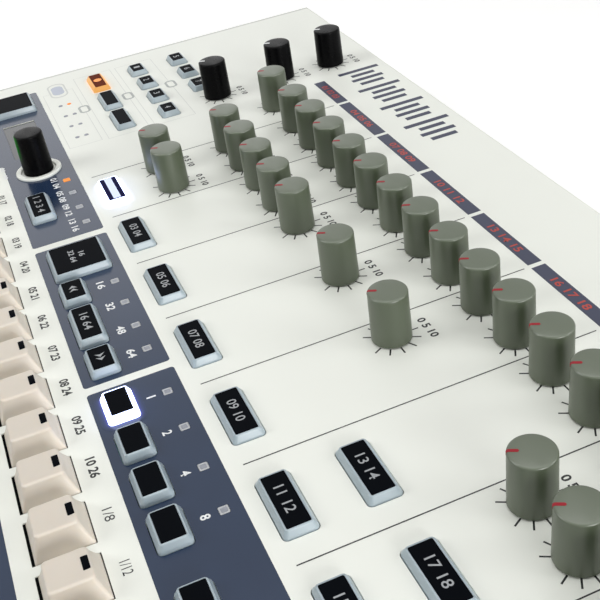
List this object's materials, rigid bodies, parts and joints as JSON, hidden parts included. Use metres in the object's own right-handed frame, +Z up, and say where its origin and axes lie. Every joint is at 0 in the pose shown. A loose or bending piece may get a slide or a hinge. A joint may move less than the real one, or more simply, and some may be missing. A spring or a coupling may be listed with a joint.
{
  "type": "drum machine",
  "caption": "Wedge-shaped desktop drum machine with rows of turning knobs, step keys, lit trigger buttons, lamps, a display and rear jack sockets.",
  "frame": {"origin": "on the table, under the middle of the case's outline", "axes": "+Z up, -Y towards the player (the low front edge), +X to the player's right along the width"},
  "size_m": [0.498, 0.265, 0.074],
  "materials": {
    "cover_plastic": "fine-textured moulded plastic, off-white",
    "pan_steel": "satin powder coat",
    "rear_steel": "satin black paint",
    "board": "solder mask",
    "component_metal": "plated",
    "socket_plastic": "moulded, matt",
    "lamp_lens": "diffusing lens, unlit",
    "foot_rubber": "matt",
    "screw_steel": "zinc plated",
    "knob_plastic": "moulded, olive grey, satin",
    "key_plastic": "moulded, ivory, satin",
    "button_plastic": "milky translucent blue-grey",
    "encoder_plastic": "polished black"
  },
  "bodies": {
    "case": {"top_cover": "cover_plastic", "bottom_pan": "pan_steel", "rear_panel": "rear_steel", "circuit_boards": "board", "pots_and_switches": "component_metal", "rear_sockets": "socket_plastic", "indicator_lenses": "lamp_lens", "feet": "foot_rubber", "case_screws": "screw_steel", "far_knobs": "knob_plastic", "far_step_keys": "key_plastic", "far_buttons": "button_plastic"},
    "rear_knob_1_body": {"rear_knob_1": "knob_plastic"},
    "rear_knob_2_body": {"rear_knob_2": "knob_plastic"},
    "rear_knob_3_body": {"rear_knob_3": "knob_plastic"},
    "rear_knob_4_body": {"rear_knob_4": "knob_plastic"},
    "rear_knob_5_body": {"rear_knob_5": "knob_plastic"},
    "rear_knob_6_body": {"rear_knob_6": "knob_plastic"},
    "rear_knob_7_body": {"rear_knob_7": "knob_plastic"},
    "rear_knob_8_body": {"rear_knob_8": "knob_plastic"},
    "rear_knob_9_body": {"rear_knob_9": "knob_plastic"},
    "rear_knob_10_body": {"rear_knob_10": "knob_plastic"},
    "rear_knob_11_body": {"rear_knob_11": "knob_plastic"},
    "rear_knob_12_body": {"rear_knob_12": "knob_plastic"},
    "rear_knob_13_body": {"rear_knob_13": "knob_plastic"},
    "middle_knob_1_body": {"middle_knob_1": "knob_plastic"},
    "middle_knob_2_body": {"middle_knob_2": "knob_plastic"},
    "middle_knob_3_body": {"middle_knob_3": "knob_plastic"},
    "middle_knob_4_body": {"middle_knob_4": "knob_plastic"},
    "middle_knob_5_body": {"middle_knob_5": "knob_plastic"},
    "middle_knob_6_body": {"middle_knob_6": "knob_plastic"},
    "middle_knob_7_body": {"middle_knob_7": "knob_plastic"},
    "third_knob_1_body": {"third_knob_1": "knob_plastic"},
    "third_knob_2_body": {"third_knob_2": "knob_plastic"},
    "hat_knob_1_body": {"hat_knob_1": "knob_plastic"},
    "hat_knob_2_body": {"hat_knob_2": "knob_plastic"},
    "data_encoder_body": {"data_encoder": "encoder_plastic"},
    "step_key_5_body": {"step_key_5": "key_plastic"},
    "step_key_6_body": {"step_key_6": "key_plastic"},
    "step_key_7_body": {"step_key_7": "key_plastic"},
    "step_key_8_body": {"step_key_8": "key_plastic"},
    "step_key_9_body": {"step_key_9": "key_plastic"},
    "step_key_10_body": {"step_key_10": "key_plastic"},
    "step_key_11_body": {"step_key_11": "key_plastic"},
    "trigger_button_1_body": {"trigger_button_1": "button_plastic"},
    "trigger_button_2_body": {"trigger_button_2": "button_plastic"},
    "trigger_button_3_body": {"trigger_button_3": "button_plastic"},
    "trigger_button_4_body": {"trigger_button_4": "button_plastic"},
    "trigger_button_5_body": {"trigger_button_5": "button_plastic"},
    "trigger_button_6_body": {"trigger_button_6": "button_plastic"},
    "trigger_button_7_body": {"trigger_button_7": "button_plastic"},
    "scroll_button_body": {"scroll_button": "button_plastic"},
    "back_button_body": {"back_button": "button_plastic"},
    "length_button_body": {"length_button": "button_plastic"},
    "forward_button_body": {"forward_button": "button_plastic"},
    "mode_button_body": {"mode_button": "button_plastic"},
    "select_button_1_body": {"select_button_1": "button_plastic"},
    "select_button_2_body": {"select_button_2": "button_plastic"},
    "select_button_3_body": {"select_button_3": "button_plastic"},
    "select_button_4_body": {"select_button_4": "button_plastic"}
  },
  "joints": [
    {"name": "rear_knob_1_turn", "type": "hinge", "parent": "case", "child": "rear_knob_1_body", "pos_m": [-0.12472, 0.06452, 0.04919], "axis": [0, 0.1219, -0.9925], "range_deg": [0, 300]},
    {"name": "rear_knob_2_turn", "type": "hinge", "parent": "case", "child": "rear_knob_2_body", "pos_m": [-0.097, 0.06452, 0.04919], "axis": [0, 0.1219, -0.9925], "range_deg": [0, 300]},
    {"name": "rear_knob_3_turn", "type": "hinge", "parent": "case", "child": "rear_knob_3_body", "pos_m": [-0.076, 0.06452, 0.04919], "axis": [0, 0.1219, -0.9925], "range_deg": [0, 300]},
    {"name": "rear_knob_4_turn", "type": "hinge", "parent": "case", "child": "rear_knob_4_body", "pos_m": [-0.055, 0.06452, 0.04919], "axis": [0, 0.1219, -0.9925], "range_deg": [0, 300]},
    {"name": "rear_knob_5_turn", "type": "hinge", "parent": "case", "child": "rear_knob_5_body", "pos_m": [-0.034, 0.06452, 0.04919], "axis": [0, 0.1219, -0.9925], "range_deg": [0, 300]},
    {"name": "rear_knob_6_turn", "type": "hinge", "parent": "case", "child": "rear_knob_6_body", "pos_m": [-0.013, 0.06452, 0.04919], "axis": [0, 0.1219, -0.9925], "range_deg": [0, 300]},
    {"name": "rear_knob_7_turn", "type": "hinge", "parent": "case", "child": "rear_knob_7_body", "pos_m": [0.008, 0.06452, 0.04919], "axis": [0, 0.1219, -0.9925], "range_deg": [0, 300]},
    {"name": "rear_knob_8_turn", "type": "hinge", "parent": "case", "child": "rear_knob_8_body", "pos_m": [0.029, 0.06452, 0.04919], "axis": [0, 0.1219, -0.9925], "range_deg": [0, 300]},
    {"name": "rear_knob_9_turn", "type": "hinge", "parent": "case", "child": "rear_knob_9_body", "pos_m": [0.05, 0.06452, 0.04919], "axis": [0, 0.1219, -0.9925], "range_deg": [0, 300]},
    {"name": "rear_knob_10_turn", "type": "hinge", "parent": "case", "child": "rear_knob_10_body", "pos_m": [0.071, 0.06452, 0.04919], "axis": [0, 0.1219, -0.9925], "range_deg": [0, 300]},
    {"name": "rear_knob_11_turn", "type": "hinge", "parent": "case", "child": "rear_knob_11_body", "pos_m": [0.092, 0.06452, 0.04919], "axis": [0, 0.1219, -0.9925], "range_deg": [0, 300]},
    {"name": "rear_knob_12_turn", "type": "hinge", "parent": "case", "child": "rear_knob_12_body", "pos_m": [0.113, 0.06452, 0.04919], "axis": [0, 0.1219, -0.9925], "range_deg": [0, 300]},
    {"name": "rear_knob_13_turn", "type": "hinge", "parent": "case", "child": "rear_knob_13_body", "pos_m": [0.134, 0.06452, 0.04919], "axis": [0, 0.1219, -0.9925], "range_deg": [0, 300]},
    {"name": "middle_knob_1_turn", "type": "hinge", "parent": "case", "child": "middle_knob_1_body", "pos_m": [-0.097, 0.03117, 0.0451], "axis": [0, 0.1219, -0.9925], "range_deg": [0, 300]},
    {"name": "middle_knob_2_turn", "type": "hinge", "parent": "case", "child": "middle_knob_2_body", "pos_m": [-0.076, 0.03117, 0.0451], "axis": [0, 0.1219, -0.9925], "range_deg": [0, 300]},
    {"name": "middle_knob_3_turn", "type": "hinge", "parent": "case", "child": "middle_knob_3_body", "pos_m": [-0.055, 0.03117, 0.0451], "axis": [0, 0.1219, -0.9925], "range_deg": [0, 300]},
    {"name": "middle_knob_4_turn", "type": "hinge", "parent": "case", "child": "middle_knob_4_body", "pos_m": [-0.034, 0.03117, 0.0451], "axis": [0, 0.1219, -0.9925], "range_deg": [0, 300]},
    {"name": "middle_knob_5_turn", "type": "hinge", "parent": "case", "child": "middle_knob_5_body", "pos_m": [-0.013, 0.03117, 0.0451], "axis": [0, 0.1219, -0.9925], "range_deg": [0, 300]},
    {"name": "middle_knob_6_turn", "type": "hinge", "parent": "case", "child": "middle_knob_6_body", "pos_m": [0.029, 0.03117, 0.0451], "axis": [0, 0.1219, -0.9925], "range_deg": [0, 300]},
    {"name": "middle_knob_7_turn", "type": "hinge", "parent": "case", "child": "middle_knob_7_body", "pos_m": [0.071, 0.03117, 0.0451], "axis": [0, 0.1219, -0.9925], "range_deg": [0, 300]},
    {"name": "third_knob_1_turn", "type": "hinge", "parent": "case", "child": "third_knob_1_body", "pos_m": [-0.097, -0.00198, 0.04103], "axis": [0, 0.1219, -0.9925], "range_deg": [0, 300]},
    {"name": "third_knob_2_turn", "type": "hinge", "parent": "case", "child": "third_knob_2_body", "pos_m": [-0.076, -0.00198, 0.04103], "axis": [0, 0.1219, -0.9925], "range_deg": [0, 300]},
    {"name": "hat_knob_1_turn", "type": "hinge", "parent": "case", "child": "hat_knob_1_body", "pos_m": [0.155, 0.03117, 0.0451], "axis": [0, 0.1219, -0.9925], "range_deg": [0, 300]},
    {"name": "hat_knob_2_turn", "type": "hinge", "parent": "case", "child": "hat_knob_2_body", "pos_m": [0.176, 0.03117, 0.0451], "axis": [0, 0.1219, -0.9925], "range_deg": [0, 300]},
    {"name": "data_encoder_turn", "type": "hinge", "parent": "case", "child": "data_encoder_body", "pos_m": [-0.1306, -0.05241, 0.03483], "axis": [0, 0.1219, -0.9925], "continuous": true},
    {"name": "step_key_5_press", "type": "slide", "parent": "case", "child": "step_key_5_body", "axis": [0, 0.1219, -0.9925], "range_m": [0, 0.002], "stiffness_N_per_m": 200, "springref_m": -0.0015},
    {"name": "step_key_6_press", "type": "slide", "parent": "case", "child": "step_key_6_body", "axis": [0, 0.1219, -0.9925], "range_m": [0, 0.002], "stiffness_N_per_m": 200, "springref_m": -0.0015},
    {"name": "step_key_7_press", "type": "slide", "parent": "case", "child": "step_key_7_body", "axis": [0, 0.1219, -0.9925], "range_m": [0, 0.002], "stiffness_N_per_m": 200, "springref_m": -0.0015},
    {"name": "step_key_8_press", "type": "slide", "parent": "case", "child": "step_key_8_body", "axis": [0, 0.1219, -0.9925], "range_m": [0, 0.002], "stiffness_N_per_m": 200, "springref_m": -0.0015},
    {"name": "step_key_9_press", "type": "slide", "parent": "case", "child": "step_key_9_body", "axis": [0, 0.1219, -0.9925], "range_m": [0, 0.002], "stiffness_N_per_m": 200, "springref_m": -0.0015},
    {"name": "step_key_10_press", "type": "slide", "parent": "case", "child": "step_key_10_body", "axis": [0, 0.1219, -0.9925], "range_m": [0, 0.002], "stiffness_N_per_m": 200, "springref_m": -0.0015},
    {"name": "step_key_11_press", "type": "slide", "parent": "case", "child": "step_key_11_body", "axis": [0, 0.1219, -0.9925], "range_m": [0, 0.002], "stiffness_N_per_m": 200, "springref_m": -0.0015},
    {"name": "trigger_button_1_press", "type": "slide", "parent": "case", "child": "trigger_button_1_body", "axis": [0, 0.1219, -0.9925], "range_m": [0, 0.0008], "stiffness_N_per_m": 600, "springref_m": -0.0008},
    {"name": "trigger_button_2_press", "type": "slide", "parent": "case", "child": "trigger_button_2_body", "axis": [0, 0.1219, -0.9925], "range_m": [0, 0.0008], "stiffness_N_per_m": 600, "springref_m": -0.0008},
    {"name": "trigger_button_3_press", "type": "slide", "parent": "case", "child": "trigger_button_3_body", "axis": [0, 0.1219, -0.9925], "range_m": [0, 0.0008], "stiffness_N_per_m": 600, "springref_m": -0.0008},
    {"name": "trigger_button_4_press", "type": "slide", "parent": "case", "child": "trigger_button_4_body", "axis": [0, 0.1219, -0.9925], "range_m": [0, 0.0008], "stiffness_N_per_m": 600, "springref_m": -0.0008},
    {"name": "trigger_button_5_press", "type": "slide", "parent": "case", "child": "trigger_button_5_body", "axis": [0, 0.1219, -0.9925], "range_m": [0, 0.0008], "stiffness_N_per_m": 600, "springref_m": -0.0008},
    {"name": "trigger_button_6_press", "type": "slide", "parent": "case", "child": "trigger_button_6_body", "axis": [0, 0.1219, -0.9925], "range_m": [0, 0.0008], "stiffness_N_per_m": 600, "springref_m": -0.0008},
    {"name": "trigger_button_7_press", "type": "slide", "parent": "case", "child": "trigger_button_7_body", "axis": [0, 0.1219, -0.9925], "range_m": [0, 0.0008], "stiffness_N_per_m": 600, "springref_m": -0.0008},
    {"name": "scroll_button_press", "type": "slide", "parent": "case", "child": "scroll_button_body", "axis": [0, 0.1219, -0.9925], "range_m": [0, 0.0008], "stiffness_N_per_m": 600, "springref_m": -0.0008},
    {"name": "back_button_press", "type": "slide", "parent": "case", "child": "back_button_body", "axis": [0, 0.1219, -0.9925], "range_m": [0, 0.0008], "stiffness_N_per_m": 600, "springref_m": -0.0008},
    {"name": "length_button_press", "type": "slide", "parent": "case", "child": "length_button_body", "axis": [0, 0.1219, -0.9925], "range_m": [0, 0.0008], "stiffness_N_per_m": 600, "springref_m": -0.0008},
    {"name": "forward_button_press", "type": "slide", "parent": "case", "child": "forward_button_body", "axis": [0, 0.1219, -0.9925], "range_m": [0, 0.0008], "stiffness_N_per_m": 600, "springref_m": -0.0008},
    {"name": "mode_button_press", "type": "slide", "parent": "case", "child": "mode_button_body", "axis": [0, 0.1219, -0.9925], "range_m": [0, 0.0008], "stiffness_N_per_m": 600, "springref_m": -0.0008},
    {"name": "select_button_1_press", "type": "slide", "parent": "case", "child": "select_button_1_body", "axis": [0, 0.1219, -0.9925], "range_m": [0, 0.0008], "stiffness_N_per_m": 600, "springref_m": -0.0008},
    {"name": "select_button_2_press", "type": "slide", "parent": "case", "child": "select_button_2_body", "axis": [0, 0.1219, -0.9925], "range_m": [0, 0.0008], "stiffness_N_per_m": 600, "springref_m": -0.0008},
    {"name": "select_button_3_press", "type": "slide", "parent": "case", "child": "select_button_3_body", "axis": [0, 0.1219, -0.9925], "range_m": [0, 0.0008], "stiffness_N_per_m": 600, "springref_m": -0.0008},
    {"name": "select_button_4_press", "type": "slide", "parent": "case", "child": "select_button_4_body", "axis": [0, 0.1219, -0.9925], "range_m": [0, 0.0008], "stiffness_N_per_m": 600, "springref_m": -0.0008}
  ]
}
